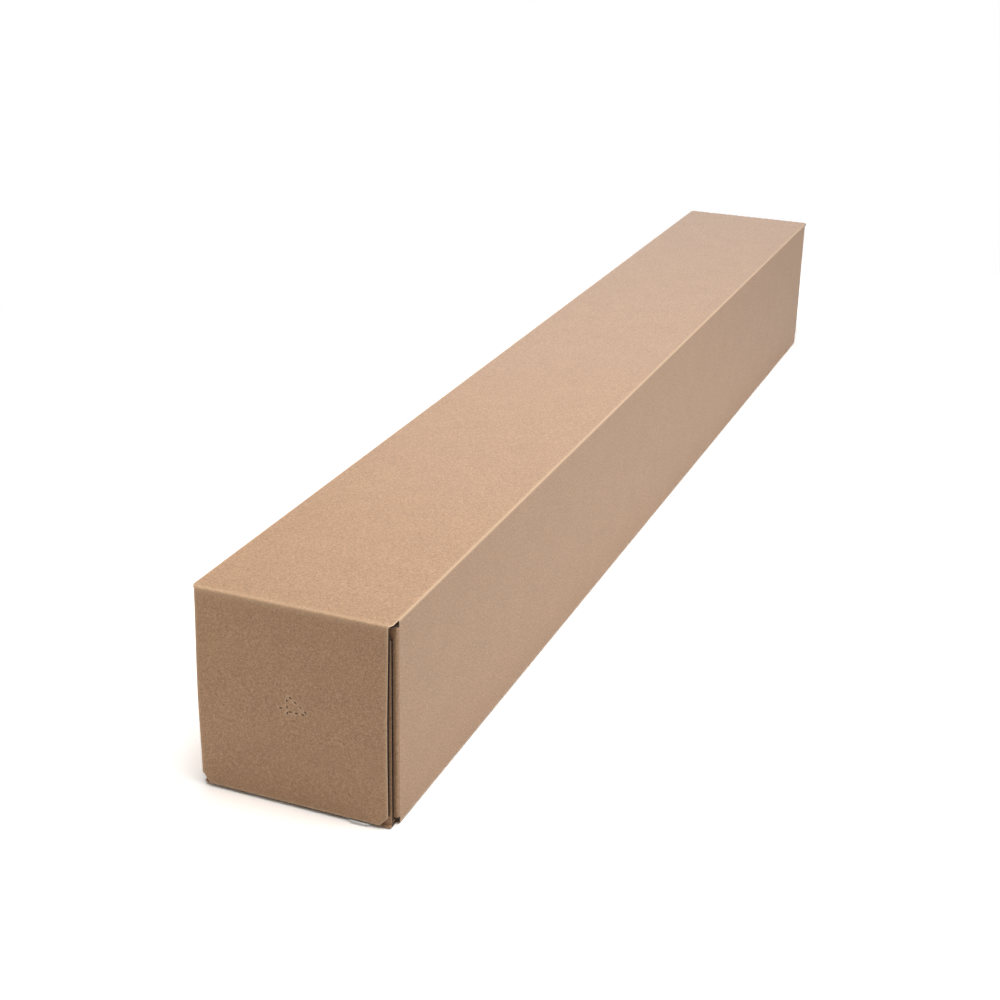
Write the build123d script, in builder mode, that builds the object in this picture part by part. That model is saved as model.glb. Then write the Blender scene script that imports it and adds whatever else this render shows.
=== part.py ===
from build123d import *
import os
from math import cos, radians, sin, tan

# Long shipping box, folded from one sheet of corrugated board.
# Millimetres. X is the width, Y the length with the near end at -Y, Z up from the floor.

# Goods space
inside_length = 1000.0
inside_width = 120.0
inside_height = 124.0

# Board: two flat liners glued to a fluted sheet, the flutes running along the box
board = 3.0
liner = 0.35
fluting = 0.25
flute_pitch = 6.4
flute_angle = 50.0
flute_tip_radius = 0.4

# Folds
long_fold_radius = 2.0
fold_inner_radius = 0.5
crease_gap = 0.3
hinge_lift = 0.3
crushed_length = 4.0

# Glue joint of the tube, along the lower left edge
glue_tab_width = 35.0
seam_height = 2.5

# End closure, layer by layer
strip_gap = 1.0
layer_gap = 0.4
flap_inset = 2.0
slot_relief = 0.6
floor_gap = 1.5
corner_cut_width = 5.2
corner_cut_height = 6.5
inner_flap_top_gap = 7.5
dust_flap_length = 55.0
dust_flap_edge_gap = 1.0

# Self-adhesive strip and its release liner, on the inside of each outer flap
strip_length = 92.0
strip_width = 15.0
strip_thickness = 0.2
strip_rise = 2.0
release_thickness = 0.15
release_margin = 2.0
finger_tab_length = 13.0
finger_tab_level = 0.3
finger_tab_curl = 0.7
finger_tab_reach = 1.5

# Perforated press-in mark in the middle of the near flap: rows of short slits round a triangle
# Each row starts at a place across and above the flap's middle and steps on at an angle
slit_length = 2.0
slit_width = 0.8
slit_pitch = 4.0
slope_start = (-0.2, 6.8)
slope_angle = -38.0
slope_slits = 4
level_start = (-0.4, -2.3)
level_slits = 3
upright_start = (-2.4, 4.5)
upright_slits = 3
side_slit = (-6.4, -1.0)

# Sizes that follow from the ones above
outer_width = inside_width + 2 * board
outer_height = inside_height + 2 * board
inner_flap_depth = board + strip_gap
dust_flap_depth = inner_flap_depth + board + layer_gap
outer_length = inside_length + 2 * (dust_flap_depth + board)
end_fold_radius = board + fold_inner_radius
slot_end_depth = dust_flap_depth + end_fold_radius + slot_relief
tube_end = outer_length / 2 - slot_end_depth
flap_width = outer_width - 2 * flap_inset
fold_level = outer_height - end_fold_radius
dust_flap_low = board + dust_flap_edge_gap
dust_flap_height = inside_height - 2 * dust_flap_edge_gap
inner_flap_top = outer_height - board - inner_flap_top_gap
half_gap_angle = (crease_gap / 2) / radians(end_fold_radius)

# Each end has a plane on its outer face: x across the end, y up, z out of the box
near_face = Plane(origin=(0, -outer_length / 2, 0), x_dir=(1, 0, 0), z_dir=(0, -1, 0))
far_face = Plane(origin=(0, outer_length / 2, 0), x_dir=(-1, 0, 0), z_dir=(0, 1, 0))
ends = {"near": near_face, "far": far_face}


def depth_plane(face):
    """Upright plane along the box at one end: x is the depth behind the end face, y is up."""
    return Plane(origin=face.origin, x_dir=-face.z_dir, z_dir=face.x_dir)


def edge_plane(face, height):
    """Level plane at one end: x runs across the end, y is the depth behind the end face."""
    return Plane(origin=face.origin + Vector(0, 0, height), x_dir=face.x_dir, z_dir=(0, 0, 1))


def fold_point(radius, angle):
    """Point of an outer flap's fold, as depth and height, at an angle from the level inward way."""
    return (
        end_fold_radius + radius * cos(radians(angle)),
        fold_level + radius * sin(radians(angle)),
    )


# Box body: the tube with its glue tab, and at each end two dust flaps and the inner flap
with BuildPart() as box_body:
    # Tube section: the left panel laps over the glue tab that rises from the bottom panel
    with BuildSketch(Plane.XZ) as tube_section:
        with Locations((0, outer_height / 2)):
            RectangleRounded(outer_width, outer_height, long_fold_radius)
            RectangleRounded(inside_width, inside_height, fold_inner_radius, mode=Mode.SUBTRACT)
        with Locations((-inside_width / 2, board)):
            Rectangle(board, glue_tab_width, align=(Align.MIN, Align.MIN))
        with Locations((-outer_width / 2, 0)):
            Rectangle(board, seam_height, align=(Align.MIN, Align.MIN), mode=Mode.SUBTRACT)
        lap_corner = tube_section.vertices().sort_by_distance((-inside_width / 2, 0))[0]
        fillet(lap_corner, long_fold_radius)
        tab_corner = tube_section.vertices().sort_by_distance((board - inside_width / 2, board))[0]
        fillet(tab_corner, fold_inner_radius)
    extrude(amount=tube_end, both=True)

    # Dust flaps: the side panels turn in behind everything else
    with BuildSketch(Plane.XY.offset(dust_flap_low)) as dust_flaps:
        dust_face = outer_length / 2 - dust_flap_depth
        with BuildLine():
            Polyline(
                (outer_width / 2, tube_end),
                (outer_width / 2, dust_face),
                (outer_width / 2 - dust_flap_length, dust_face),
                (outer_width / 2 - dust_flap_length, dust_face - board),
                (inside_width / 2, dust_face - board),
                (inside_width / 2, tube_end),
                close=True,
            )
        make_face()
        outer_corner = dust_flaps.vertices().sort_by_distance((outer_width / 2, dust_face))[0]
        fillet(outer_corner, end_fold_radius)
        inner_corner = dust_flaps.vertices().sort_by_distance((inside_width / 2, dust_face - board))[0]
        fillet(inner_corner, fold_inner_radius)
        mirror(about=Plane.YZ)
        mirror(about=Plane.XZ)
    extrude(amount=dust_flap_height)

    for face in ends.values():
        # Inner flap: the bottom panel turns up in front of the dust flaps
        with BuildSketch(depth_plane(face)) as inner_flap:
            with BuildLine():
                Polyline(
                    (slot_end_depth, 0),
                    (inner_flap_depth, 0),
                    (inner_flap_depth, inner_flap_top),
                    (inner_flap_depth + board, inner_flap_top),
                    (inner_flap_depth + board, board),
                    (slot_end_depth, board),
                    close=True,
                )
            make_face()
            outer_corner = inner_flap.vertices().sort_by_distance((inner_flap_depth, 0))[0]
            fillet(outer_corner, end_fold_radius)
            inner_corner = inner_flap.vertices().sort_by_distance((inner_flap_depth + board, board))[0]
            fillet(inner_corner, fold_inner_radius)
        extrude(amount=flap_width / 2, both=True)

        # Top panel between the corner slots, up to the middle of the outer flap's fold
        with BuildSketch(depth_plane(face)) as top_end:
            with BuildLine():
                bend = 45 - half_gap_angle
                centre = (end_fold_radius, fold_level)
                CenterArc(centre, end_fold_radius, 90, bend)
                Line(fold_point(end_fold_radius, 90 + bend), fold_point(fold_inner_radius, 90 + bend))
                CenterArc(centre, fold_inner_radius, 90, bend)
                Polyline(
                    (end_fold_radius, outer_height - board),
                    (slot_end_depth, outer_height - board),
                    (slot_end_depth, outer_height),
                    (end_fold_radius, outer_height),
                )
            make_face()
        extrude(amount=flap_width / 2, both=True)

box_body.part.label = "box_body"


def mark_slits():
    """Places and angles of the slits of the mark's sloping, level and upright row and its side slit."""
    middle = (floor_gap + outer_height) / 2
    rows = [
        (slope_start, slope_angle, slope_slits),
        (level_start, 0, level_slits),
        (upright_start, -90, upright_slits),
        (side_slit, 0, 1),
    ]
    slits = []
    for (across, height), angle, count in rows:
        step = Vector(slit_pitch, 0, 0).rotate(Axis.Z, angle)
        for index in range(count):
            slits.append((across + index * step.X, middle + height + index * step.Y, angle))
    return slits


os.makedirs("parts", exist_ok=True)
export_step(box_body.part, "parts/box_body.step")

for end, face in ends.items():
    # Outer flap: hangs from the top panel's end fold and covers the end
    with BuildPart() as outer_flap:
        with BuildSketch(face) as flap_outline:
            with BuildLine():
                Polyline(
                    (-flap_width / 2, fold_level),
                    (-flap_width / 2, floor_gap + corner_cut_height),
                    (-flap_width / 2 + corner_cut_width, floor_gap),
                    (flap_width / 2 - corner_cut_width, floor_gap),
                    (flap_width / 2, floor_gap + corner_cut_height),
                    (flap_width / 2, fold_level),
                    close=True,
                )
            make_face()
        extrude(amount=-board)

        # Outer half of the end fold
        with BuildSketch(depth_plane(face)) as flap_fold:
            with BuildLine():
                bend = 45 - half_gap_angle
                centre = (end_fold_radius, fold_level)
                CenterArc(centre, end_fold_radius, 180, -bend)
                Line(fold_point(end_fold_radius, 180 - bend), fold_point(fold_inner_radius, 180 - bend))
                CenterArc(centre, fold_inner_radius, 180, -bend)
                Line((0, fold_level), (board, fold_level))
            make_face()
        extrude(amount=flap_width / 2, both=True)

        # Flute channels, open at the flap's lower and side edges and crushed shut near the fold
        flutes = round(flap_width / flute_pitch)
        pitch = flap_width / flutes
        core = board - 2 * liner
        channel_base = pitch / 2 + core / tan(radians(flute_angle)) - fluting / sin(radians(flute_angle))
        channel_height = core - fluting
        with BuildSketch(edge_plane(face, floor_gap)) as channels:
            with Locations((0, liner)):
                with GridLocations(pitch, 0, flutes + 1, 1):
                    Trapezoid(channel_base, channel_height, flute_angle, align=(Align.CENTER, Align.MIN))
            with Locations((0, board - liner)):
                with GridLocations(pitch, 0, flutes, 1):
                    Trapezoid(
                        channel_base,
                        channel_height,
                        flute_angle,
                        rotation=180,
                        align=(Align.CENTER, Align.MIN),
                    )
            corners = channels.vertices()
            tips = corners.filter_by_position(Axis.Y, liner + fluting / 2, board - liner - fluting / 2)
            fillet(tips, flute_tip_radius)
        extrude(amount=fold_level - crushed_length - floor_gap, mode=Mode.SUBTRACT)

        # Perforated mark, on the near flap only
        if end == "near":
            with BuildSketch(face) as mark:
                for across, height, angle in mark_slits():
                    with Locations((across, height)):
                        Rectangle(slit_length, slit_width, rotation=angle)
            extrude(amount=-board, mode=Mode.SUBTRACT)

    outer_flap.part.label = f"{end}_outer_flap"
    export_step(outer_flap.part, f"parts/{end}_outer_flap.step")

    # Adhesive strip along the inside of the flap's lower edge
    strip_low = floor_gap + strip_rise
    with BuildPart() as adhesive_strip:
        with BuildSketch(face.offset(-board)):
            with Locations((0, strip_low)):
                Rectangle(strip_length, strip_width, align=(Align.CENTER, Align.MIN))
        extrude(amount=-strip_thickness)
    adhesive_strip.part.label = f"{end}_adhesive_strip"
    export_step(adhesive_strip.part, f"parts/{end}_adhesive_strip.step")

    # Release liner over the strip, with a finger tab that curls out under the flap's lower edge
    release_length = strip_length + 2 * release_margin
    release_front = board + strip_thickness
    release_back = release_front + release_thickness
    curl_centre = (release_front - finger_tab_curl, finger_tab_level + finger_tab_curl + release_thickness)
    with BuildPart() as release_liner:
        with BuildSketch(face.offset(-release_front)):
            with Locations((0, floor_gap)):
                Rectangle(
                    release_length,
                    strip_rise + strip_width + release_margin,
                    align=(Align.CENTER, Align.MIN),
                )
        extrude(amount=-release_thickness)
        with BuildSketch(depth_plane(face).offset(release_length / 2 - finger_tab_length)):
            with BuildLine():
                Line((release_front, floor_gap), (release_front, curl_centre[1]))
                CenterArc(curl_centre, finger_tab_curl, 0, -90)
                Polyline(
                    (curl_centre[0], finger_tab_level + release_thickness),
                    (-finger_tab_reach, finger_tab_level + release_thickness),
                    (-finger_tab_reach, finger_tab_level),
                    (curl_centre[0], finger_tab_level),
                )
                CenterArc(curl_centre, finger_tab_curl + release_thickness, -90, 90)
                Polyline(
                    (release_back, curl_centre[1]),
                    (release_back, floor_gap),
                    (release_front, floor_gap),
                )
            make_face()
        extrude(amount=finger_tab_length)
    release_liner.part.label = f"{end}_release_liner"
    export_step(release_liner.part, f"parts/{end}_release_liner.step")

fold_reach = end_fold_radius + hinge_lift
hinge_depth, hinge_height = fold_point(fold_reach, 135)
print("outer size", outer_width, outer_length, outer_height)
print("flap hinge", hinge_depth - outer_length / 2, hinge_height)
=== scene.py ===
"""Visible surfaces, finishes and studio of a long shipping box of corrugated board, in metres."""

import math

import bpy
import numpy as np
from mathutils import Matrix, Vector


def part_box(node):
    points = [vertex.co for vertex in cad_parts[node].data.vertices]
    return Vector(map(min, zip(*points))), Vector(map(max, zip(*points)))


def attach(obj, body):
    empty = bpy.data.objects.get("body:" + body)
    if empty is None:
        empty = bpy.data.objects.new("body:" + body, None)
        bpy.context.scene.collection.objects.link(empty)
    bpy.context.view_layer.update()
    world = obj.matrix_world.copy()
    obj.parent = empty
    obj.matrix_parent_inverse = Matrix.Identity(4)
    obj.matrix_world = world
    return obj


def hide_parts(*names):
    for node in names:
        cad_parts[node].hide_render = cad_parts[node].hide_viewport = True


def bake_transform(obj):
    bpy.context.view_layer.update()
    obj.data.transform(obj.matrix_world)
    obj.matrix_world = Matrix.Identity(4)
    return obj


bl_info = {
    "name": "Long Shipping Box",
    "version": (1, 0, 0),
    "blender": (4, 5, 0),
    "location": "View3D > Sidebar > Shipping Box",
    "description": "Dresses a long corrugated shipping box with fluted flaps and kraft finishes",
    "category": "Object",
}

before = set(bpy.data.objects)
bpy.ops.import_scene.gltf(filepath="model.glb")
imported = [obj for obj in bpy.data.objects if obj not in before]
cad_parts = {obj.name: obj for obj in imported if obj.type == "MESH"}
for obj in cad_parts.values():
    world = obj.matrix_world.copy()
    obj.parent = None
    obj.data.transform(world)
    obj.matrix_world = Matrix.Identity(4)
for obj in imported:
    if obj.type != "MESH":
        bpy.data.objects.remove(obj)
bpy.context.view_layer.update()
TUBE_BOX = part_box("box_body")
FLAP_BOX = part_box("near_outer_flap")
STRIP_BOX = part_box("near_adhesive_strip")
LINER_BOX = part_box("near_release_liner")

MM = 0.001
FLAP_WIDTH = FLAP_BOX[1].x - FLAP_BOX[0].x
TAB_LENGTH = 13.0 * MM
END_SIGNS = {"near": 1.0, "far": -1.0}
# Kinds of face. The third has the near-black finish that paints shade inside the board.
LINER_FACE, CUT_EDGE, FLUTING_IN_PAINTED_SHADE = range(3)

# Rows of the press-in mark: start across and above the flap's middle in mm, angle in degrees, slits
MARK_ROWS = (
    ((-0.2, 6.8), -38.0, 4),
    ((-0.4, -2.3), 0.0, 3),
    ((-2.4, 4.5), -90.0, 3),
    ((-6.4, -1.0), 0.0, 1),
)


def linear(code):
    """Linear red, green, blue and alpha of an sRGB hex colour, by the sRGB curve."""
    share = np.array([int(code[i : i + 2], 16) for i in (1, 3, 5)]) / 255
    curve = np.where(share <= 0.04045, share / 12.92, ((share + 0.055) / 1.055) ** 2.4)
    return (*curve.tolist(), 1.0)


def metres(name, description, default):
    """A size that a user may change, in metres."""
    return bpy.props.FloatProperty(name=name, description=description, default=default, unit="LENGTH")


def hex_colour(name, description, code):
    """A colour that a user may change, from an sRGB hex value, kept linear."""
    return bpy.props.FloatVectorProperty(
        name=name, description=description, default=linear(code), size=4, subtype="COLOR"
    )


class BoardSizes(bpy.types.PropertyGroup):
    """Sizes of the corrugated board and its folds."""

    thickness: metres("Board thickness", "Outer liner to inner liner", 3.0 * MM)
    liner: metres("Liner", "Thickness of each flat liner", 0.35 * MM)
    fluting: metres("Fluting", "Thickness of the waved sheet between the liners", 0.25 * MM)
    flutes: bpy.props.IntProperty(
        name="Flutes", description="Waves across the width of an end flap", default=19
    )
    long_fold: metres("Long fold radius", "Outer radius of the four folds along the box", 1.0 * MM)
    end_fold: metres("End fold radius", "Outer radius of the folds where the outer flaps turn", 1.5 * MM)
    dust_fold: metres("Dust fold radius", "Outer radius of the folds where the dust flaps turn", 1.8 * MM)
    flare: metres("Flare", "How far the top panel stands out past each side of an outer flap", 2.0 * MM)
    inner_fold: metres("Inner fold radius", "Outer radius of the inner flaps' folds", 0.6 * MM)
    toe: metres("Inner fold toe", "How far an inner fold's outer liner stands out in front", 1.9 * MM)
    bulge: metres("Flap bulge", "How far the middle of an outer flap swells out", 1.3 * MM)
    skew: metres("Flap skew", "How far an outer flap's lower edge stands aside of its fold", 0.9 * MM)
    ripple: metres("Fold ripple", "How far the outer liner dips between the flutes at a fold", 0.3 * MM)
    crush: bpy.props.FloatProperty(
        name="Fold crush",
        description="Share of the board's thickness that the creasing rule takes away at an end fold",
        default=0.4,
        subtype="FACTOR",
    )
    washboard: metres("Washboard", "How far a flat liner dips between the flutes", 0.012 * MM)


class BoxSizes(bpy.types.PropertyGroup):
    """Sizes of the tube and of the layers that close its ends."""

    width: metres("Width", "Outside width of the tube", TUBE_BOX[1].x - TUBE_BOX[0].x)
    height: metres("Height", "Outside height of the tube", TUBE_BOX[1].z - TUBE_BOX[0].z)
    end: metres("End", "Distance of each outer flap's face from the middle of the box", -FLAP_BOX[0].y)
    slot: metres("Slot depth", "Depth behind the end face at which the corner slots end", 9.2 * MM)
    flap_width: metres("Flap width", "Width of the outer flaps", FLAP_WIDTH - 0.8 * MM)
    inner_width: metres("Inner flap width", "Width of the inner flaps", FLAP_WIDTH)
    floor_gap: metres("Floor gap", "Height of the outer flap's lower edge", FLAP_BOX[0].z)
    corner_width: metres("Corner cut width", "Width of the cut at a flap's lower corners", 5.2 * MM)
    corner_height: metres("Corner cut height", "Height of the cut at a flap's lower corners", 6.5 * MM)
    inner_depth: metres("Inner flap depth", "Depth of the inner flap's face behind the end face", 3.5 * MM)
    inner_aside: metres("Inner flap aside", "How far an inner flap stands aside of the middle", 0.4 * MM)
    inner_gap: metres("Inner flap gap", "Gap between the inner flap and the top panel", 7.5 * MM)
    dust_depth: metres("Dust flap depth", "Depth of the dust flaps' faces behind the end face", 7.2 * MM)
    dust_length: metres("Dust flap length", "How far a dust flap reaches in from the side", 55.0 * MM)
    dust_gap: metres("Dust flap gap", "Gap between a dust flap and the panels above and below", 1.0 * MM)
    tab_width: metres("Glue tab width", "Width of the tab glued inside the left panel", 35.0 * MM)
    seam: metres("Seam height", "Height of the left panel's cut edge above the floor", 2.5 * MM)


class MarkSizes(bpy.types.PropertyGroup):
    """Sizes of the slits of the press-in mark in the near outer flap."""

    length: metres("Slit length", "Length of one slit", 2.0 * MM)
    width: metres("Slit width", "Width of one slit at its middle", 0.8 * MM)
    pitch: metres("Slit pitch", "Distance from slit to slit in a row", 4.0 * MM)
    press: metres("Pressed lip", "How far the cutting rule draws the liner in at a slit", 0.15 * MM)


class BoxColours(bpy.types.PropertyGroup):
    """Colours of the finishes, kept linear."""

    liner: hex_colour("Kraft liner", "Mean colour of the liner's face", "#a98565")
    fibre_dark: hex_colour("Dark fibres", "Colour of bark specks and dense fibre", "#84654d")
    fibre_light: hex_colour("Light fibres", "Colour of bleached fibre", "#c3a183")
    # Lighter than scuffed kraft alone: this colour is also a painted highlight where folds and edges catch
    # the light.
    rubbed_and_highlit: hex_colour("Rubbed folds", "Colour of stretched and rubbed folds and edges", "#dcbf9f")
    # Darker than cut kraft alone: this colour is also painted shade for the narrow gaps beside the flaps'
    # edges.
    edge: hex_colour("Cut edge", "Colour of the cut paper", "#5f4d40")
    # Near black: painted shade for the hollows inside the board, on the fluting and the liners' inner
    # faces.
    fluting: hex_colour("Fluting", "Colour of the waved sheet", "#2e241d")
    adhesive: hex_colour("Adhesive", "Colour of the tacky strip", "#dcd4bd")
    release: hex_colour("Release paper", "Colour of the paper over the strip", "#f4f4f2")
    floor: hex_colour("Floor", "Colour of the studio floor", "#f2f2f2")


# Finishes

NOISE = "ShaderNodeTexNoise"
RANGE = "ShaderNodeMapRange"
MIX = "ShaderNodeMix"
BUMP = "ShaderNodeBump"


def add_node(tree, kind, inputs=None, **settings):
    """Adds one node. Settings are its properties, inputs its values or the sockets that feed them."""
    node = tree.nodes.new(kind)
    for name, value in settings.items():
        setattr(node, name, value)
    for key, value in (inputs or {}).items():
        if isinstance(value, bpy.types.NodeSocket):
            tree.links.new(value, node.inputs[key])
        else:
            node.inputs[key].default_value = value
    return node


def new_finish(name):
    """An empty material with its node tree and its surface shader."""
    finish = bpy.data.materials.new(name)
    finish.use_nodes = True
    tree = finish.node_tree
    tree.nodes.clear()
    shader = add_node(tree, "ShaderNodeBsdfPrincipled")
    add_node(tree, "ShaderNodeOutputMaterial", {"Surface": shader.outputs["BSDF"]})
    return finish, tree, shader


def kraft_liner_finish(colours):
    """Unbleached kraft liner, machine finished and uncoated."""
    # Long softwood fibres give a warm matt brown with fine light and dark flecks over soft clouds.
    # Real fibres are 0.03 mm wide. They are drawn about 1 mm wide here, or they would not show.
    finish, tree, shader = new_finish("kraft_liner_machine_finished")
    place = add_node(tree, "ShaderNodeTexCoord").outputs["Object"]
    fleck_size = 0.9 * MM
    mottle_size = 2.6 * MM
    cloud_size = 22.0 * MM
    fleck = add_node(
        tree,
        NOISE,
        {"Vector": place, "Scale": 1 / fleck_size, "Detail": 2.0, "Roughness": 0.6, "Distortion": 0.8},
    ).outputs["Fac"]
    mottle = add_node(
        tree,
        NOISE,
        {"Vector": place, "Scale": 1 / mottle_size, "Detail": 3.0, "Roughness": 0.65},
    ).outputs["Fac"]
    cloud = add_node(
        tree,
        NOISE,
        {"Vector": place, "Scale": 1 / cloud_size, "Detail": 2.0, "Roughness": 0.5},
    ).outputs["Fac"]
    dark = add_node(
        tree, RANGE, {"Value": fleck, "From Min": 0.5, "From Max": 0.24, "To Max": 1.0}
    ).outputs["Result"]
    light = add_node(
        tree, RANGE, {"Value": fleck, "From Min": 0.5, "From Max": 0.76, "To Max": 0.95}
    ).outputs["Result"]
    shade = add_node(
        tree, RANGE, {"Value": mottle, "From Min": 0.3, "From Max": 0.7, "To Min": 0.93, "To Max": 1.07}
    ).outputs["Result"]
    drift = add_node(
        tree, RANGE, {"Value": cloud, "From Min": 0.3, "From Max": 0.7, "To Min": 0.975, "To Max": 1.025}
    ).outputs["Result"]
    level = add_node(tree, "ShaderNodeMath", {0: shade, 1: drift}, operation="MULTIPLY").outputs[0]
    base = add_node(tree, MIX, {0: dark, 6: colours.liner, 7: colours.fibre_dark}, data_type="RGBA")
    flecked = add_node(tree, MIX, {0: light, 6: base.outputs[2], 7: colours.fibre_light}, data_type="RGBA")
    fibres = flecked.outputs[2]
    tinted = add_node(tree, "ShaderNodeVectorMath", {0: fibres, "Scale": level}, operation="SCALE")
    # Painted highlight with rubbing: folds and edges are mixed towards a lighter colour, partly scuffed
    # fibre and partly a painted highlight where they catch the light.
    rubbed_and_highlit = add_node(tree, "ShaderNodeAttribute", attribute_name="painted_highlight_and_wear").outputs["Fac"]
    worn_and_highlit = add_node(tree, MIX, {0: rubbed_and_highlit, 6: tinted.outputs[0], 7: colours.rubbed_and_highlit}, data_type="RGBA")
    tree.links.new(worn_and_highlit.outputs[2], shader.inputs["Base Color"])
    gloss = add_node(
        tree, RANGE, {"Value": mottle, "From Min": 0.3, "From Max": 0.7, "To Min": 0.42, "To Max": 0.54}
    ).outputs["Result"]
    tree.links.new(gloss, shader.inputs["Roughness"])
    relief = add_node(tree, BUMP, {"Height": fleck, "Strength": 0.35, "Distance": 0.12 * MM})
    tree.links.new(relief.outputs["Normal"], shader.inputs["Normal"])
    shader.inputs["IOR"].default_value = 1.38
    return finish


def cut_edge_finish(colours):
    """Edge of kraft board, die cut."""
    # The steel rule tears and crushes the fibres, which gives a rough, dull edge. Its colour is made much
    # darker than that alone gives: painted shade for the narrow gaps beside the flaps' edges.
    finish, tree, shader = new_finish("kraft_board_die_cut_in_painted_shade")
    place = add_node(tree, "ShaderNodeTexCoord").outputs["Object"]
    tear_size = 0.7 * MM
    tear = add_node(
        tree, NOISE, {"Vector": place, "Scale": 1 / tear_size, "Detail": 3.0, "Roughness": 0.7}
    ).outputs["Fac"]
    share = add_node(
        tree, RANGE, {"Value": tear, "From Min": 0.35, "From Max": 0.75, "To Max": 0.7}
    ).outputs["Result"]
    mixed = add_node(tree, MIX, {0: share, 6: colours.edge, 7: colours.fibre_dark}, data_type="RGBA")
    tree.links.new(mixed.outputs[2], shader.inputs["Base Color"])
    relief = add_node(tree, BUMP, {"Height": tear, "Strength": 0.6, "Distance": 0.2 * MM})
    tree.links.new(relief.outputs["Normal"], shader.inputs["Normal"])
    shader.inputs["Roughness"].default_value = 0.85
    shader.inputs["IOR"].default_value = 1.5
    return finish


def fluting_in_painted_shade_finish(colours):
    """Recycled fluting medium, hot formed between rolls."""
    # Short recycled fibres give a greyer and darker brown than the liner, with few flecks and no shine.
    # The colour is made near black, far darker than that: painted shade for the hollows inside the board.
    finish, tree, shader = new_finish("fluting_medium_in_painted_shade")
    place = add_node(tree, "ShaderNodeTexCoord").outputs["Object"]
    speck_size = 1.5 * MM
    speck = add_node(
        tree, NOISE, {"Vector": place, "Scale": 1 / speck_size, "Detail": 3.0, "Roughness": 0.6}
    ).outputs["Fac"]
    share = add_node(
        tree, RANGE, {"Value": speck, "From Min": 0.4, "From Max": 0.8, "To Max": 0.5}
    ).outputs["Result"]
    mixed = add_node(tree, MIX, {0: share, 6: colours.fluting, 7: colours.fibre_dark}, data_type="RGBA")
    tree.links.new(mixed.outputs[2], shader.inputs["Base Color"])
    shader.inputs["Roughness"].default_value = 0.8
    shader.inputs["IOR"].default_value = 1.5
    return finish


def adhesive_finish(colours):
    """Acrylic adhesive, coated as a tacky film."""
    # A soft film laid down wet gives a low wavy gloss over a milky, faintly yellow body.
    finish, tree, shader = new_finish("acrylic_adhesive_coated")
    place = add_node(tree, "ShaderNodeTexCoord").outputs["Object"]
    streak_size = 3.0 * MM
    streak = add_node(
        tree, NOISE, {"Vector": place, "Scale": 1 / streak_size, "Detail": 2.0}
    ).outputs["Fac"]
    share = add_node(
        tree, RANGE, {"Value": streak, "From Min": 0.4, "From Max": 0.8, "To Max": 0.35}
    ).outputs["Result"]
    mixed = add_node(tree, MIX, {0: share, 6: colours.adhesive, 7: colours.liner}, data_type="RGBA")
    tree.links.new(mixed.outputs[2], shader.inputs["Base Color"])
    relief = add_node(tree, BUMP, {"Height": streak, "Strength": 0.3, "Distance": 0.1 * MM})
    tree.links.new(relief.outputs["Normal"], shader.inputs["Normal"])
    shader.inputs["Roughness"].default_value = 0.28
    shader.inputs["IOR"].default_value = 1.47
    return finish


def release_paper_finish(colours):
    """Bleached release paper, calendered and silicone coated."""
    # Calendering presses the sheet smooth, and the silicone gives it a soft even shine.
    finish, tree, shader = new_finish("release_paper_silicone_coated")
    place = add_node(tree, "ShaderNodeTexCoord").outputs["Object"]
    cockle_size = 6.0 * MM
    cockle = add_node(
        tree, NOISE, {"Vector": place, "Scale": 1 / cockle_size, "Detail": 2.0}
    ).outputs["Fac"]
    tone = add_node(
        tree, RANGE, {"Value": cockle, "From Min": 0.3, "From Max": 0.7, "To Min": 0.94, "To Max": 1.0}
    ).outputs["Result"]
    paper = colours.release[:3]
    white = add_node(tree, "ShaderNodeVectorMath", {0: paper, "Scale": tone}, operation="SCALE")
    tree.links.new(white.outputs[0], shader.inputs["Base Color"])
    relief = add_node(tree, BUMP, {"Height": cockle, "Strength": 0.2, "Distance": 0.3 * MM})
    tree.links.new(relief.outputs["Normal"], shader.inputs["Normal"])
    shader.inputs["Roughness"].default_value = 0.42
    shader.inputs["IOR"].default_value = 1.45
    return finish


def board_finishes(colours):
    """The three finishes of a corrugated board, made once, in the order of the face kinds."""
    names = ["kraft_liner_machine_finished", "kraft_board_die_cut_in_painted_shade", "fluting_medium_in_painted_shade"]
    makers = [kraft_liner_finish, cut_edge_finish, fluting_in_painted_shade_finish]
    return [bpy.data.materials.get(n) or make(colours) for n, make in zip(names, makers)]


# Surfaces


def grid_quads(rows, columns):
    """Corner numbers of the quads between neighbouring rows and columns of a grid."""
    index = np.arange(rows * columns).reshape(rows, columns)
    corners = [index[:-1, :-1], index[1:, :-1], index[1:, 1:], index[:-1, 1:]]
    return np.stack(corners, -1).reshape(-1, 4)


def sheet_shell(face, back, face_kind, back_kind):
    """Closed thin sheet between two point grids: the face, the back turned round, and a rim of quads."""
    rows, columns = face.shape[:2]
    index = np.arange(rows * columns).reshape(rows, columns)
    rim = np.concatenate([index[0, :-1], index[:-1, -1], index[-1, :0:-1], index[:0:-1, 0]])
    after = np.roll(rim, -1)
    count = rows * columns
    quads = grid_quads(rows, columns)
    sides = np.stack([rim, after, after + count, rim + count], -1)
    faces = np.concatenate([quads, quads[:, ::-1] + count, sides])
    kinds = np.repeat([face_kind, back_kind, CUT_EDGE], [len(quads), len(quads), len(sides)])
    points = np.concatenate([face.reshape(-1, 3), back.reshape(-1, 3)])
    return points, faces, kinds


def outward(points, faces):
    """The faces, turned round if the signed volume of the closed shape they bound is below zero."""
    a, b, c, d = (points[faces[:, i]] for i in range(4))
    volume = np.einsum("ij,ij->i", a, np.cross(b, c) + np.cross(c, d)).sum()
    return faces if volume > 0 else faces[:, ::-1]


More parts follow.
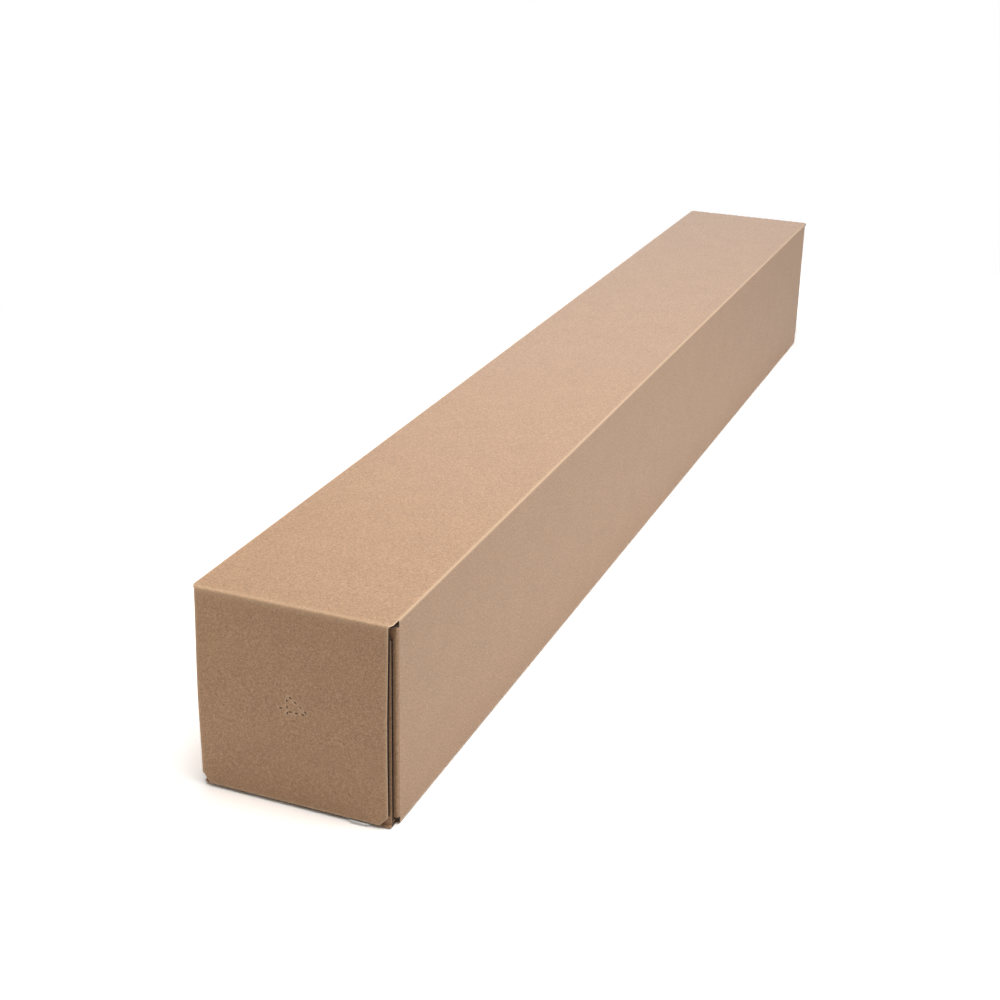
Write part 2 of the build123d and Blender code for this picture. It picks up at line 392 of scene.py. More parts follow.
def join_shells(shells):
    """Shells joined as one list of points, faces, kinds and painted highlight with rubbing, faces outward.
    """
    starts = np.cumsum([0] + [len(s[0]) for s in shells[:-1]])
    points = np.concatenate([s[0] for s in shells])
    faces = np.concatenate([outward(s[0], s[1]) + n for s, n in zip(shells, starts)])
    kinds = np.concatenate([s[2] for s in shells])
    wear_and_highlight = np.concatenate([s[3] for s in shells])
    return points, faces, kinds, wear_and_highlight


def make_piece(name, points, faces, finishes, kinds=None, wear_and_highlight=None):
    """Puts points and faces into a mesh object, smooth but for edges sharper than 35 degrees."""
    mesh = bpy.data.meshes.new(name)
    mesh.from_pydata(points.tolist(), [], faces if isinstance(faces, list) else faces.tolist())
    for finish in finishes:
        mesh.materials.append(finish)
    if kinds is not None:
        mesh.polygons.foreach_set("material_index", np.asarray(kinds, np.int32))
    if wear_and_highlight is not None:
        attribute = mesh.attributes.new("painted_highlight_and_wear", "FLOAT", "POINT")
        attribute.data.foreach_set("value", np.asarray(wear_and_highlight, np.float32))
    if mesh.validate():
        raise RuntimeError(f"{name} had faces that Blender had to repair")
    mesh.polygons.foreach_set("use_smooth", np.ones(len(mesh.polygons), bool))
    mesh.set_sharp_from_angle(angle=math.radians(35))
    piece = bpy.data.objects.new(name, mesh)
    bpy.context.scene.collection.objects.link(piece)
    return piece


def smooth_step(share):
    """A share, kept between 0 and 1, as three times its square less twice its cube."""
    share = np.clip(share, 0, 1)
    return share**2 * (3 - 2 * share)


def bell(distance, reach):
    """Bell curve: the exponential of minus the squared ratio of distance to reach."""
    return np.exp(-((distance / reach) ** 2))


def fading(distance, reach):
    """Falling exponential of the ratio of distance to reach."""
    return np.exp(-distance / reach)


def flute_wave(across, pitch):
    """Share of the way from outer to inner liner: half of one minus a cosine, one turn per pitch."""
    return 0.5 - 0.5 * np.cos(2 * np.pi * across / pitch)


def wander(across, seed):
    """Slow uneven change between 0 and 1: the mean of three sines whose turns don't divide each other."""
    turns = np.array([53.0, 131.0, 211.0])
    starts = seed * np.array([1.7, 2.9, 4.3])
    waves = np.sin(across[..., None] * turns * 2 * np.pi / 3 + starts)
    return 0.5 + waves.mean(-1) / 2


def folded_path(lead, radius, along):
    """Points and inward normals of a straight lead, a quarter turn and a straight run.

    p grows along the lead and q along the run. With a the arc length past the lead over the radius,
    kept between 0 and a quarter turn, p is radius times sin a and q is radius times one minus cos a,
    plus what is left of the length before and after. The normal is minus sin a, cos a.
    """
    turn = np.clip((along - lead) / radius, 0, np.pi / 2)
    p = radius * np.sin(turn) + np.minimum(along - lead, 0)
    q = radius * (1 - np.cos(turn)) + np.maximum(along - lead - radius * np.pi / 2, 0)
    return p, q, -np.sin(turn), np.cos(turn)


def spaced(start, stop, step):
    """Evenly spaced values from start to stop, no further apart than step, without the last."""
    return np.linspace(start, stop, max(1, math.ceil((stop - start) / step - 1e-6)), endpoint=False)


def flap_stations(lead, radius, run, fold_step, middle_step):
    """Arc lengths along a flap: close at the fold and the free edge, as asked past the fold and midway."""
    turn = radius * np.pi / 2
    bent = lead + turn
    end = bent + run
    middle = (bent - radius + end) / 2
    close, wide, edge_step = 1.0 * MM, 9.0 * MM, 1.5 * MM
    rippled, marked, edge = 14 * MM, 11.0 * MM, 9 * MM
    parts = [
        spaced(0, lead, close),
        spaced(lead, bent, turn / 10),
        spaced(bent, bent + close, fold_step),
        spaced(bent + close, bent + rippled, close),
        spaced(bent + rippled, middle - marked, wide),
        spaced(middle - marked, middle + marked, middle_step),
        spaced(middle + marked, end - edge, wide),
        spaced(end - edge, end - 1.2 * MM, edge_step),
        end - np.array([1.2, 0.7, 0.35, 0.12, 0.0]) * MM,
    ]
    return np.concatenate(parts)


def edge_columns(half, pitch, per_flute):
    """Places across a flap: evenly spaced over each flute, and close together at the two side edges."""
    inner = half - 1.2 * MM
    count = 2 * math.ceil(inner / pitch * per_flute)
    rolled = half - np.array([0.7, 0.35, 0.12, 0.0]) * MM
    return np.concatenate([-rolled[::-1], np.linspace(-inner, inner, count + 1), rolled])


def fluted_flap(
    board,
    lead,
    radius,
    run,
    half,
    pitch,
    seed,
    per_flute=8,
    cut=None,
    lip=None,
    toe=None,
    bulge=0.0,
    skew=0.0,
    flare=0.0,
    rub_and_highlight=0.0,
):
    """Two liners and the fluting between them, carried along a folded path, as a function of two lengths.

    The first length runs along the flap and the second across it. A point lies on the folded path,
    moved in along its normal by its layer's depth. The outer liner dips between the flutes, deeply at
    the fold and hardly elsewhere, by a bell curve of the distance from the fold's middle. At the free
    edges both liners roll in by a falling exponential of the distance from the edge. The fluting's
    depth follows a cosine across the flap. The whole board is thinner at the fold, by another bell
    curve, as the creasing rule leaves it. With cut, the run is shorter towards the lower corners.
    With lip, a function of the places across and down, the outer liner dips where that is above 0.
    With toe, a function of the place across, the outer liner buckles out by that at the fold: it moves
    evenly further over the lead, and falls back behind the fold by a smooth step.
    Below the fold the flap swells out by the bulge times a squared sine of the share of its run, and
    moves aside by the skew times that share. Before the fold each side is wider by the flare, which
    falls away over the fold by a smooth step. The fluting stops short of the side edges. The painted
    highlight with rubbing is rub_and_highlight times a bell curve at the fold and a falling exponential
    at the free edges, plus a lighter lip round the slits. It mixes in a lighter colour that is partly
    scuffed fibre and partly a painted highlight where folds and edges catch the light.
    """
    across = edge_columns(half, pitch, per_flute)
    fold_step = 0.1 * MM if toe else 1.0 * MM
    middle_step = 0.5 * MM if lip else 9.0 * MM
    stations = flap_stations(lead, radius, run, fold_step, middle_step)
    along, x = np.meshgrid(stations, across, indexing="ij")
    bent = lead + radius * np.pi / 2
    shorter = 0.0
    if cut:
        shorter = np.clip((np.abs(x) - half + cut[0]) / cut[0], 0, 1) * cut[1]
    past = np.maximum(along - bent, 0)
    along = np.minimum(along, bent) + past * (run - shorter) / run
    p, q, normal_p, normal_q = folded_path(lead, radius, along)
    from_seam = np.clip(along / lead, 0, 1)
    buckle = np.zeros((*x.shape, 3))
    if toe:
        fall_back = 0.8 * MM
        buckle[..., 0] = toe(x) * from_seam * (1 - smooth_step((along - bent) / fall_back))

    ripple_reach = 2.6 * MM
    slack_reach, slack_depth = 7.0 * MM, 0.15 * MM
    crush_reach = 4.0 * MM
    roll_reach, roll_depth = 0.45 * MM, 0.16 * MM
    wave = flute_wave(x, pitch)
    from_fold = along - lead - radius * np.pi / 4
    at_fold = bell(from_fold, ripple_reach)
    dip = board.washboard + at_fold * from_seam * board.ripple * (0.3 + 0.9 * wander(x, seed))
    slack = bell(from_fold, slack_reach) * from_seam * slack_depth * wander(x * 0.6, seed + 2.0)
    thickness = board.thickness * (1 - board.crush * bell(from_fold, crush_reach))
    to_edge = np.minimum(half - np.abs(x), bent + run - shorter - along)
    roll = roll_depth * fading(to_edge, roll_reach)
    pressed = lip(x, q) if lip else np.zeros_like(x)
    outer = dip * wave + slack + roll + pressed
    inner = thickness - roll - board.washboard * (1 - wave)

    glue = 0.02 * MM
    slope = np.pi * (board.thickness - 2 * board.liner) / pitch * np.sin(2 * np.pi * x / pitch)
    half_sheet = board.fluting / 2 * np.sqrt(1 + slope**2)
    lowest = outer + board.liner + glue + board.fluting / 2
    highest = inner - board.liner - glue - board.fluting / 2
    core = lowest + (highest - lowest) * wave

    share = np.clip((along - bent) / run, 0, 1)
    swell = bulge * np.sin(np.pi * share) ** 2
    narrowing = 2.0 * MM
    widen = 1 + flare / half * smooth_step((bent - along) / (bent - lead + narrowing))
    place = np.stack([p - normal_p * swell, q - normal_q * swell, x * widen - skew * share], -1)
    normal = np.stack([normal_p, normal_q, np.zeros_like(x)], -1)
    # Painted highlight with rubbing at the fold and the free edges; the slit lips are lighter too, ripped
    # fibre with the same painted highlight.
    rub_and_highlight_reach = 0.6 * MM
    rubbed_and_highlit = rub_and_highlight * (0.4 * at_fold + fading(to_edge, rub_and_highlight_reach))
    torn_and_highlit = 0.5 * pressed / max(pressed.max(), 0.01 * MM)
    wear_and_highlight = np.clip(rubbed_and_highlit + torn_and_highlit, 0, 1)
    open_edge = 2.2 * MM
    closed = np.abs(across) < half - open_edge
    whole = np.abs(across) <= half
    # The fluting and the liners' inner faces take the near-black finish of painted shade for the hollows
    # inside the board.
    layers = [
        (place + buckle, outer, outer + board.liner, LINER_FACE, FLUTING_IN_PAINTED_SHADE, whole),
        (place, core - half_sheet, core + half_sheet, FLUTING_IN_PAINTED_SHADE, FLUTING_IN_PAINTED_SHADE, closed),
        (place, inner - board.liner, inner, FLUTING_IN_PAINTED_SHADE, LINER_FACE, whole),
    ]
    shells = []
    for middle, face, back, face_kind, back_kind, columns in layers:
        grids = [(middle + normal * depth[..., None])[:, columns] for depth in (face, back)]
        worn_and_highlit = np.tile(wear_and_highlight[:, columns].ravel(), 2)
        shells.append((*sheet_shell(*grids, face_kind, back_kind), worn_and_highlit))
    return shells


def placed(shells, origin, lead_way, run_way, across_way):
    """Shells from path coordinates to the box's frame: origin plus each coordinate times its direction."""
    turn = np.array([lead_way, run_way, across_way], float)
    return [(s[0] @ turn + np.array(origin), *s[1:]) for s in shells]


def turned_to(shells, end):
    """Shells as they are for the near end, and turned half round the upright axis for the far end."""
    sign = END_SIGNS[end]
    return [(s[0] * np.array([sign, sign, 1.0]), *s[1:]) for s in shells]


# Pieces


def tube_section(box, board):
    """Closed outline of the folded tube across the box, and which of its points are outside.

    Going round, the outer side runs from the left panel's cut edge up, over the top, down the right
    side, along the bottom and up the glue tab, with a quarter circle at each fold. The inner side
    comes back at board thickness. The free edges are hollow between their liners.
    """
    half = box.width / 2
    top = box.height
    t = board.thickness
    fold = board.long_fold
    inside = 0.5 * MM
    glue = 0.05 * MM
    pitch = box.flap_width / board.flutes

    def corner(x, z, radius, start):
        angle = np.radians(start - np.linspace(0, 90, 9))
        return np.stack([x + radius * np.cos(angle), z + radius * np.sin(angle)], -1)

    def run(start, stop):
        length = math.dist(start, stop)
        share = np.linspace(0, 1, max(2, math.ceil(length / pitch * 6)))[:, None]
        return np.array(start) + (np.array(stop) - np.array(start)) * share

    tab = -half + t + glue
    tab_top = t + box.tab_width
    hollow = 1.0 * MM
    crushed = board.liner * 1.4
    bevel_in, bevel_up = 0.06 * MM, 0.2 * MM
    outer = [
        run((-half, box.seam + bevel_up), (-half, top - fold)),
        corner(-half + fold, top - fold, fold, 180),
        run((-half + fold, top), (half - fold, top)),
        corner(half - fold, top - fold, fold, 90),
        run((half, top - fold), (half, fold)),
        corner(half - fold, fold, fold, 0),
        run((half - fold, 0), (tab + fold, 0)),
        corner(tab + fold, fold, fold, -90),
        run((tab, fold), (tab, tab_top)),
    ]
    tab_edge = np.array(
        [
            (tab + board.liner, tab_top),
            (tab + crushed, tab_top - hollow),
            (tab + t - crushed, tab_top - hollow),
            (tab + t - board.liner, tab_top),
        ]
    )
    inner = [
        run((tab + t, tab_top), (tab + t, t + inside)),
        corner(tab + t + inside, t + inside, inside, 180) * [1, -1] + [0, 2 * (t + inside)],
        run((tab + t + inside, t), (half - t - inside, t)),
        corner(half - t - inside, t + inside, inside, 90) * [1, -1] + [0, 2 * (t + inside)],
        run((half - t, t + inside), (half - t, top - t - inside)),
        corner(half - t - inside, top - t - inside, inside, 90)[::-1],
        run((half - t - inside, top - t), (-half + t + inside, top - t)),
        corner(-half + t + inside, top - t - inside, inside, 180)[::-1],
        run((-half + t, top - t - inside), (-half + t, box.seam)),
    ]
    lap_edge = np.array(
        [
            (-half + t - board.liner, box.seam),
            (-half + t - crushed, box.seam + hollow),
            (-half + crushed, box.seam + hollow),
            (-half + board.liner, box.seam),
            (-half + bevel_in, box.seam),
        ]
    )
    outline = np.concatenate([*outer, tab_edge, *inner, lap_edge])
    keep = np.linalg.norm(outline - np.roll(outline, 1, axis=0), axis=1) > 1e-7
    outside_count = sum(len(part) for part in outer)
    is_outside = np.arange(len(outline)) < outside_count
    return outline[keep], is_outside[keep]


def make_tube(box, board, finishes):
    """The folded tube: its section carried along the box, with flats that dip a little.

    The section is repeated along the length. A point of an outer flat moves in by the washboard dip
    between flutes, and by a slow wave along and across the panel that dies out at folds and ends.
    """
    outline, outside = tube_section(box, board)
    half = box.width / 2
    reach = box.end - box.slot
    rows = 61
    along = np.linspace(-reach, reach, rows)
    pitch = box.flap_width / board.flutes
    x, z = outline.T
    middle = box.height / 2
    level = (np.abs(z - box.height) < 1e-7) | (np.abs(z) < 1e-7)
    upright = np.abs(np.abs(x) - half) < 1e-7
    flat = outside & (level | upright)
    across = np.where(level, x, z - middle)
    span = np.where(level, half, middle) - board.long_fold
    room = np.clip(1 - (np.abs(across) / span) ** 2, 0, 1)
    inward_x = np.where(upright, -np.sign(x), 0.0)
    inward_z = np.where(upright, 0.0, np.sign(middle - z))
    sag = 0.22 * MM
    y = along[:, None]
    slow = sag * room * (1 - (y / reach) ** 8)
    side = x * 9.0 + z * 23.0
    waves = 0.5 + 0.25 * np.sin(y * 17.0 + side) + 0.25 * np.sin(y * 41.0 - 2 * side)
    depth = np.where(flat, board.washboard * flute_wave(across, pitch) + slow * waves, 0.0)
    points = np.stack([x + inward_x * depth, np.broadcast_to(y, depth.shape), z + inward_z * depth], -1)
    ring = np.arange(len(x))
    first = ring + np.arange(rows - 1)[:, None] * len(x)
    next_one = np.roll(ring, -1) + np.arange(rows - 1)[:, None] * len(x)
    quads = np.stack([first, next_one, next_one + len(x), first + len(x)], -1).reshape(-1, 4)
    caps = [ring[::-1].tolist(), (ring + (rows - 1) * len(x)).tolist()]
    lap_height = 1.2 * MM
    at_lap = (z > box.seam - 1e-6) & (z < box.seam + lap_height) & (x < -half + board.thickness)
    edge = ~outside & np.roll(~outside, -1) & at_lap
    # The tube's end caps take the same near-black finish of painted shade.
    kinds = np.where(np.tile(edge, rows - 1), CUT_EDGE, LINER_FACE).tolist() + [FLUTING_IN_PAINTED_SHADE, FLUTING_IN_PAINTED_SHADE]
    # A painted highlight along the four long folds, with some rubbing: a bell curve of the distance from
    # the sharp corner.
    corner = np.hypot(half - np.abs(x), np.minimum(z, box.height - z))
    rub_and_highlight_reach = 1.0 * MM
    wear_and_highlight = np.where(outside, 0.85 * bell(corner, rub_and_highlight_reach), 0.0)
    faces = quads.tolist() + caps
    piece = make_piece("tube", points.reshape(-1, 3), faces, finishes, kinds, np.tile(wear_and_highlight, rows))
    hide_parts("box_body")
    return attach(piece, "box")


def mark_slits(box, mark):
    """Middles and directions of the slits. Each row steps on from its start by the pitch at its angle."""
    middle = np.array([0.0, (box.floor_gap + box.height) / 2])
    middles = []
    ways = []
    for start, angle, count in MARK_ROWS:
        way = np.array([math.cos(math.radians(angle)), math.sin(math.radians(angle))])
        middles.append(middle + np.array(start) * MM + np.arange(count)[:, None] * way * mark.pitch)
        ways.append(np.tile(way, (count, 1)))
    return np.concatenate(middles), np.concatenate(ways)


def slit_distance(x, z, box, mark):
    """Distance of points on a flap's face from the nearest slit, taken as a straight piece of line."""
    gaps = []
    for middle, way in zip(*mark_slits(box, mark)):
        off = np.stack([x, z], -1) - middle
        along = np.clip(off @ way, -mark.length / 2, mark.length / 2)
        gaps.append(np.linalg.norm(off - along[..., None] * way, axis=-1))
    return np.min(gaps, axis=0)


def make_outer_flap(box, board, mark, finishes, end):
    """An outer flap with its end fold and the strip of top panel that bends into it.

    Round the slits of the near flap's mark the liner dips by a falling exponential of the distance.
    """
    lead = box.slot - board.end_fold
    run = box.height - board.end_fold - box.floor_gap
    half = box.flap_width / 2
    pitch = box.flap_width / board.flutes
    cut = (box.corner_width, box.corner_height)
    seed = 1.0 if end == "near" else 5.0

    def drawn_in(x, down):
        press_reach = 0.7 * MM
        return mark.press * fading(slit_distance(x, box.height - down, box, mark), press_reach)

    lip = drawn_in if end == "near" else None
    shells = fluted_flap(
        board,
        lead,
        board.end_fold,
        run,
        half,
        pitch,
        seed,
        cut=cut,
        lip=lip,
        bulge=board.bulge,
        skew=board.skew,
        flare=board.flare,
        # Painted highlight with rubbing at the end fold and the free edges.
        rub_and_highlight=0.8,
    )
    origin = (0, -box.end + board.end_fold, box.height)
    shells = turned_to(placed(shells, origin, (0, -1, 0), (0, 0, -1), (1, 0, 0)), end)
    points, faces, kinds, wear_and_highlight = join_shells(shells)
    return make_piece(f"{end}_flap_board", points, faces, finishes, kinds, wear_and_highlight)


def hang_outer_flap(piece, end):
    """Hides the model's outer flap and bakes the finished flap's placement into its points."""
    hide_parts(f"{end}_outer_flap")
    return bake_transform(piece)


def make_inner_flap(box, board, finishes, end):
    """An inner flap, turned up from the bottom panel in front of the dust flaps.

    Its fold stands out under the outer flap's edge, but not where the release paper's tab comes out:
    there a smooth step to each side of the tab takes it away.
    """
    lead = box.slot - box.inner_depth - board.inner_fold
    run = box.height - board.thickness - box.inner_gap - board.inner_fold
    pitch = box.inner_width / board.flutes
    seed = 2.0 if end == "near" else 6.0
    tab_middle = LINER_BOX[1].x - TAB_LENGTH / 2 + box.inner_aside

    def toe(x):
        clear, rise = 0.5 * MM, 2.0 * MM
        return board.toe * smooth_step((np.abs(x - tab_middle) - TAB_LENGTH / 2 - clear) / rise)

    shells = fluted_flap(board, lead, board.inner_fold, run, box.inner_width / 2, pitch, seed, toe=toe)
    origin = (-box.inner_aside, -box.end + box.inner_depth + board.inner_fold, 0)
    shells = turned_to(placed(shells, origin, (0, -1, 0), (0, 0, 1), (1, 0, 0)), end)
    points, faces, kinds, wear_and_highlight = join_shells(shells)
    piece = make_piece(f"{end}_inner_flap", points, faces, finishes, kinds, wear_and_highlight)
    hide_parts("box_body")
    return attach(piece, "box")


def make_dust_flaps(box, board, finishes, end):
    """Both dust flaps of one end, turned in from the side panels behind everything else."""
    lead = box.slot - box.dust_depth - board.dust_fold
    run = box.dust_length - board.dust_fold
    half = box.height / 2 - board.thickness - box.dust_gap
    pitch = box.flap_width / board.flutes
    shells = []
    for side in (-1.0, 1.0):
        flap = fluted_flap(board, lead, board.dust_fold, run, half, pitch, 3.0 + side, per_flute=6)
        origin = (side * box.width / 2, -box.end + box.dust_depth + board.dust_fold, box.height / 2)
        shells += turned_to(placed(flap, origin, (0, -1, 0), (-side, 0, 0), (0, 0, 1)), end)
    points, faces, kinds, wear_and_highlight = join_shells(shells)
    piece = make_piece(f"{end}_dust_flaps", points, faces, finishes, kinds, wear_and_highlight)
    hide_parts("box_body")
    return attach(piece, "box")


def cut_slits(piece, box, board, mark):
    """Cuts the slits through a flap. Each is a prism whose width swells from its ends to its middle.

    With u from -1 to 1 along a slit, its width is the full width times one minus the taper times u
    squared.
    """
    shells = []
    count, taper, beyond = 7, 0.6, 1.0 * MM
    u = np.linspace(-1, 1, count)
    swell = (1 - taper * u**2) * mark.width / 2
    for middle, way in zip(*mark_slits(box, mark)):
        across = np.array([-way[1], way[0]])
        line = middle + u[:, None] * way * mark.length / 2
        flat = np.stack([line + side * swell[:, None] * across for side in (-1, 1)])
        grids = []
        for depth in (-board.bulge - beyond, board.thickness + beyond):
            y = np.full((2, count, 1), -box.end + depth)
            grids.append(np.concatenate([flat[..., :1], y, flat[..., 1:]], -1))
        shells.append((*sheet_shell(*grids, CUT_EDGE, CUT_EDGE), np.zeros(4 * count)))
    points, faces, kinds, wear_and_highlight = join_shells(shells)
    cutter = make_piece("slit_blades", points, faces, list(piece.data.materials), kinds, wear_and_highlight)
    piece.modifiers.new("flat_facets", "TRIANGULATE")
    modifier = piece.modifiers.new("slits", "BOOLEAN")
    modifier.operation = "DIFFERENCE"
    modifier.solver = "EXACT"
    modifier.object = cutter
    before = len(piece.data.loops) - 2 * len(piece.data.polygons)
    scene_state = bpy.context.evaluated_depsgraph_get()
    cut = bpy.data.meshes.new_from_object(piece.evaluated_get(scene_state))
    piece.modifiers.clear()
    piece.data = cut
    cut.polygons.foreach_set("use_smooth", np.ones(len(cut.polygons), bool))
    cut.set_sharp_from_angle(angle=math.radians(35))
    bpy.data.objects.remove(cutter)
    if len(cut.polygons) <= before:
        raise RuntimeError("the slits cut nothing")


def make_release_liner(box, finish, end):
    """Release paper behind a flap's lower edge, with a finger tab that curls out under the edge.

    The sheet is a function of the length down it and the place across. It hangs straight, wavers by
    a small product of sines, and past its straight part turns out over a quarter circle. Only the
    columns of the tab go on past the flap's edge; elsewhere the length stops there.
    """
    half = (LINER_BOX[1].x - LINER_BOX[0].x) / 2
    top = LINER_BOX[1].z
    front = STRIP_BOX[1].y + box.end
    sheet = 0.15 * MM
    level, curl = 0.3 * MM, 0.7 * MM
    rounding, rise, slack = 0.9 * MM, 0.35 * MM, 0.04 * MM
    gap, flat_end = 0.02 * MM, 1.2 * MM
    reach = -box.end - LINER_BOX[0].y
    straight = top - level - curl - sheet
    short = top - box.floor_gap - 0.1 * MM
    full = straight + curl * np.pi / 2 + front - curl + reach
    step = half - TAB_LENGTH
    across = np.concatenate([np.linspace(-half, step - gap, 40), np.linspace(step + gap, half, 30)])
    share = np.concatenate([np.linspace(0, 0.6, 12, endpoint=False), np.linspace(0.6, 1, 34)])
    down, x = np.meshgrid(share, across, indexing="ij")
    in_tab = x > step
    u = (x - step) / TAB_LENGTH * 2 - 1
    rounded = full - rounding * np.clip(u, -1, 1) ** 4
    length = down * np.where(in_tab, rounded, short)
    turn = np.clip((length - straight) / curl, 0, np.pi / 2)
    depth_face = front - curl * (1 - np.cos(turn)) - np.maximum(length - straight - curl * np.pi / 2, 0)
    z_face = top - np.minimum(length, straight) - curl * np.sin(turn)
    out = np.clip((front - flat_end - depth_face) / front, 0, 2)
    lift = rise * out**2 * np.clip(1.1 - u**2, 0, 1)
    z_face = z_face + np.where(in_tab, lift, 0)
    waver = slack * (1 + np.sin(x * 190.0) * np.sin(length * 330.0 + x * 60.0)) * (1 - np.sin(turn))
    normal_y, normal_z = np.cos(turn), -np.sin(turn)

    def layer(depth):
        y = -box.end + depth_face + normal_y * depth
        return np.stack([x, y, z_face + normal_z * depth], -1)

    shell = sheet_shell(layer(waver), layer(waver + sheet), 0, 0)
    shells = turned_to([(shell[0], shell[1], np.zeros_like(shell[2]), np.zeros(len(shell[0])))], end)
    points, faces, kinds, wear_and_highlight = join_shells(shells)
    piece = make_piece(f"{end}_release_paper", points, faces, [finish], kinds, wear_and_highlight)
    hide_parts(f"{end}_release_liner")
    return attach(piece, f"{end}_flap")


# Stage

PHOTO_SIZE = 1000
FOCAL_PIXELS = 1683.0
CAMERA_PLACE = (0.41206, -1.24003, 0.54739)
CAMERA_TURN = (-21.55, 22.944, 1.231)
AMBIENT = 0.145
BACKDROP = 1.0
FLOOR_WHITE = 1.6
FLOOR_DROP = 1.0 * MM
LIGHT_TARGET = (0.0, 0.0, 0.1)
SOFTBOXES = (
    ("overhead_softbox", (0.3, -0.3, 1.4), 1.3, 25.0, "#fffcf8"),
    ("right_softbox", (1.78, 0.12, 0.82), 1.2, 4.0, "#fafcff"),
    ("back_softbox", (-0.65, 2.0, 0.95), 1.2, 6.4, "#f0f6ff"),
    ("left_softbox", (-0.45, -0.95, 0.8), 0.5, 1.0, "#fff8f2"),
    ("low_softbox", (-0.3, -0.8, 0.05), 0.35, 0.25, "#ffe8cc"),
)


def camera_axes():
    """Right, up and back of the camera: heading and fall of its view, then a roll about it."""
    heading, fall, roll = np.radians(CAMERA_TURN)
    forward = np.array(
        [np.sin(heading) * np.cos(fall), np.cos(heading) * np.cos(fall), -np.sin(fall)]
    )
    level = np.array([np.cos(heading), -np.sin(heading), 0.0])
    upright = np.cross(level, forward)
    right = np.cos(roll) * level + np.sin(roll) * upright
    up = -np.sin(roll) * level + np.cos(roll) * upright
    return np.stack([right, up, -forward], 1)


def make_camera():
    """The camera, where the photograph was taken from."""
    lens = bpy.data.cameras.new("photo_camera")
    lens.sensor_width = 36.0
    lens.lens = FOCAL_PIXELS / PHOTO_SIZE * lens.sensor_width
    lens.clip_start = 0.01
    lens.clip_end = 100.0
    camera = bpy.data.objects.new("photo_camera", lens)
    bpy.context.scene.collection.objects.link(camera)
    camera.matrix_world = Matrix.Translation(CAMERA_PLACE) @ Matrix(camera_axes().tolist()).to_4x4()
    bpy.context.scene.camera = camera


def seen_directly(tree):
    """One for camera, glossy and transmission rays, nought for the light that falls on things."""
    rays = add_node(tree, "ShaderNodeLightPath").outputs
    some = add_node(
        tree, "ShaderNodeMath", {0: rays["Is Camera Ray"], 1: rays["Is Glossy Ray"]}, operation="MAXIMUM"
    ).outputs[0]
    return add_node(
        tree, "ShaderNodeMath", {0: some, 1: rays["Is Transmission Ray"]}, operation="MAXIMUM"
    ).outputs[0]


def make_floor(colours):
    """A round flat floor of plain pale paper that keeps the shadow.

    A square grid from -1 to 1 is drawn out to a round: each coordinate is multiplied by the root of
    one minus half the other's square, then by the floor's reach. It lies a little below the box,
    which stands just clear of it. Rays that see it directly find it lighter,
    so that it joins the white behind it.
    """
    reach = 1.2
    count = 33
    u, v = np.meshgrid(np.linspace(-1, 1, count), np.linspace(-1, 1, count))
    place = SOFTBOXES[0][1]
    x = place[0] + reach * u * np.sqrt(1 - v**2 / 2)
    y = place[1] + reach * v * np.sqrt(1 - u**2 / 2)
    points = np.stack([x, y, np.full_like(x, -FLOOR_DROP)], -1)
    mesh = bpy.data.meshes.new("studio_floor")
    mesh.from_pydata(points.reshape(-1, 3).tolist(), [], grid_quads(count, count).tolist())
    finish = bpy.data.materials.new("studio_paper_matt")
    finish.use_nodes = True
    tree = finish.node_tree
    tree.nodes.clear()
    level = add_node(
        tree, RANGE, {"Value": seen_directly(tree), "To Min": 1.0, "To Max": FLOOR_WHITE}
    ).outputs["Result"]
    pale = colours.floor[:3]
    paper = add_node(tree, "ShaderNodeVectorMath", {0: pale, "Scale": level}, operation="SCALE")
    matt = add_node(tree, "ShaderNodeBsdfDiffuse", {"Color": paper.outputs[0]})
    add_node(tree, "ShaderNodeOutputMaterial", {"Surface": matt.outputs[0]})
    mesh.materials.append(finish)
    floor = bpy.data.objects.new("studio_floor", mesh)
    bpy.context.scene.collection.objects.link(floor)


def make_world():
    """White surroundings: an even soft light, seen as plain white."""
    world = bpy.data.worlds.new("studio_surround")
    bpy.context.scene.world = world
    world.use_nodes = True
    tree = world.node_tree
    tree.nodes.clear()
    strength = add_node(
        tree, RANGE, {"Value": seen_directly(tree), "To Min": AMBIENT, "To Max": BACKDROP}
    ).outputs["Result"]
    sky = add_node(tree, "ShaderNodeBackground", {"Color": linear("#ffffff"), "Strength": strength})
    add_node(tree, "ShaderNodeOutputWorld", {"Surface": sky.outputs[0]})


def make_softbox(name, place, size, power, tint):
    """A square soft light at a place, turned to face the box."""
    lamp = bpy.data.lights.new(name, "AREA")
    lamp.shape = "SQUARE"
    lamp.size = size
    lamp.energy = power
    lamp.color = linear(tint)[:3]
    light = bpy.data.objects.new(name, lamp)
    bpy.context.scene.collection.objects.link(light)
    light.location = place
    light.rotation_euler = (Vector(LIGHT_TARGET) - Vector(place)).to_track_quat("-Z", "Y").to_euler()


# Operators


class SHIPPINGBOX_OT_tube(bpy.types.Operator):
    """Makes the folded tube."""

    bl_idname = "shippingbox.tube"
    bl_label = "Make tube"

    def execute(self, context):
        scene = context.scene
        make_tube(scene.box_sizes, scene.board_sizes, board_finishes(scene.box_colours))
        return {"FINISHED"}


class SHIPPINGBOX_OT_outer_flaps(bpy.types.Operator):
    """Makes the outer flaps with their end folds, and the slits in the near one."""

    bl_idname = "shippingbox.outer_flaps"
    bl_label = "Make outer flaps"

    def execute(self, context):
        scene = context.scene
        finishes = board_finishes(scene.box_colours)
        for end in END_SIGNS:
            piece = make_outer_flap(scene.box_sizes, scene.board_sizes, scene.mark_sizes, finishes, end)
            if end == "near":
                cut_slits(piece, scene.box_sizes, scene.board_sizes, scene.mark_sizes)
            hang_outer_flap(piece, end)
        return {"FINISHED"}


